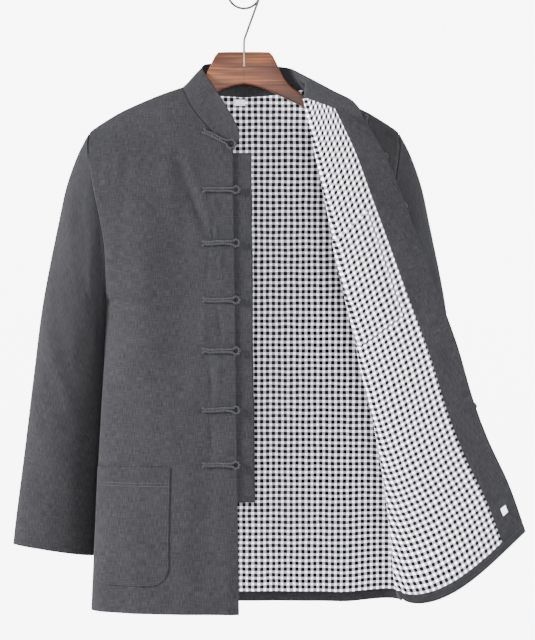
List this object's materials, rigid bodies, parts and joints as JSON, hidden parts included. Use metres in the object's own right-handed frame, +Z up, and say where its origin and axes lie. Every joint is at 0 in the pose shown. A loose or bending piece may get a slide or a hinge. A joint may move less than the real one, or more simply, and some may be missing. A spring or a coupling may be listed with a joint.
{
  "type": "tang jacket on a clothes hanger",
  "caption": "Long-sleeved jacket with a stand collar, frog fastenings, patch pockets and a checked lining, hanging open on a wooden hanger.",
  "frame": {"origin": "inner top of the hanger's hook, where it bears on a rail", "axes": "+Z up, -Y towards the viewer of the jacket's front, +X towards the wearer's left"},
  "size_m": [0.719, 0.144, 0.8936],
  "materials": {
    "shell_cloth": "matt charcoal plain weave",
    "lining_cloth": "black and white gingham cotton",
    "frog_cord": "matt covered cord",
    "label_tape": "bare white woven tape",
    "hanger_wood": "satin varnish",
    "hook_wire": "bright wire"
  },
  "bodies": {
    "root": {"right_front": "shell_cloth", "back": "shell_cloth", "back_lining": "lining_cloth", "left_front": "shell_cloth", "left_lining": "lining_cloth", "left_facing": "shell_cloth", "right_sleeve": "shell_cloth", "left_sleeve": "shell_cloth", "collar": "shell_cloth", "under_placket": "shell_cloth", "right_pocket": "shell_cloth", "left_pocket": "shell_cloth", "inner_pocket": "lining_cloth", "size_label": "label_tape", "facing_tag": "label_tape", "frog_loop_1": "frog_cord", "frog_loop_2": "frog_cord", "frog_loop_3": "frog_cord", "frog_loop_4": "frog_cord", "frog_loop_5": "frog_cord", "frog_loop_6": "frog_cord", "frog_loop_7": "frog_cord", "frog_knot_1": "frog_cord", "frog_knot_2": "frog_cord", "frog_knot_3": "frog_cord", "frog_knot_4": "frog_cord", "frog_knot_5": "frog_cord", "frog_knot_6": "frog_cord", "frog_knot_7": "frog_cord", "hanger_right_arm": "hanger_wood", "hanger_left_arm": "hanger_wood", "hanger_hook": "hook_wire"}
  },
  "joints": []
}
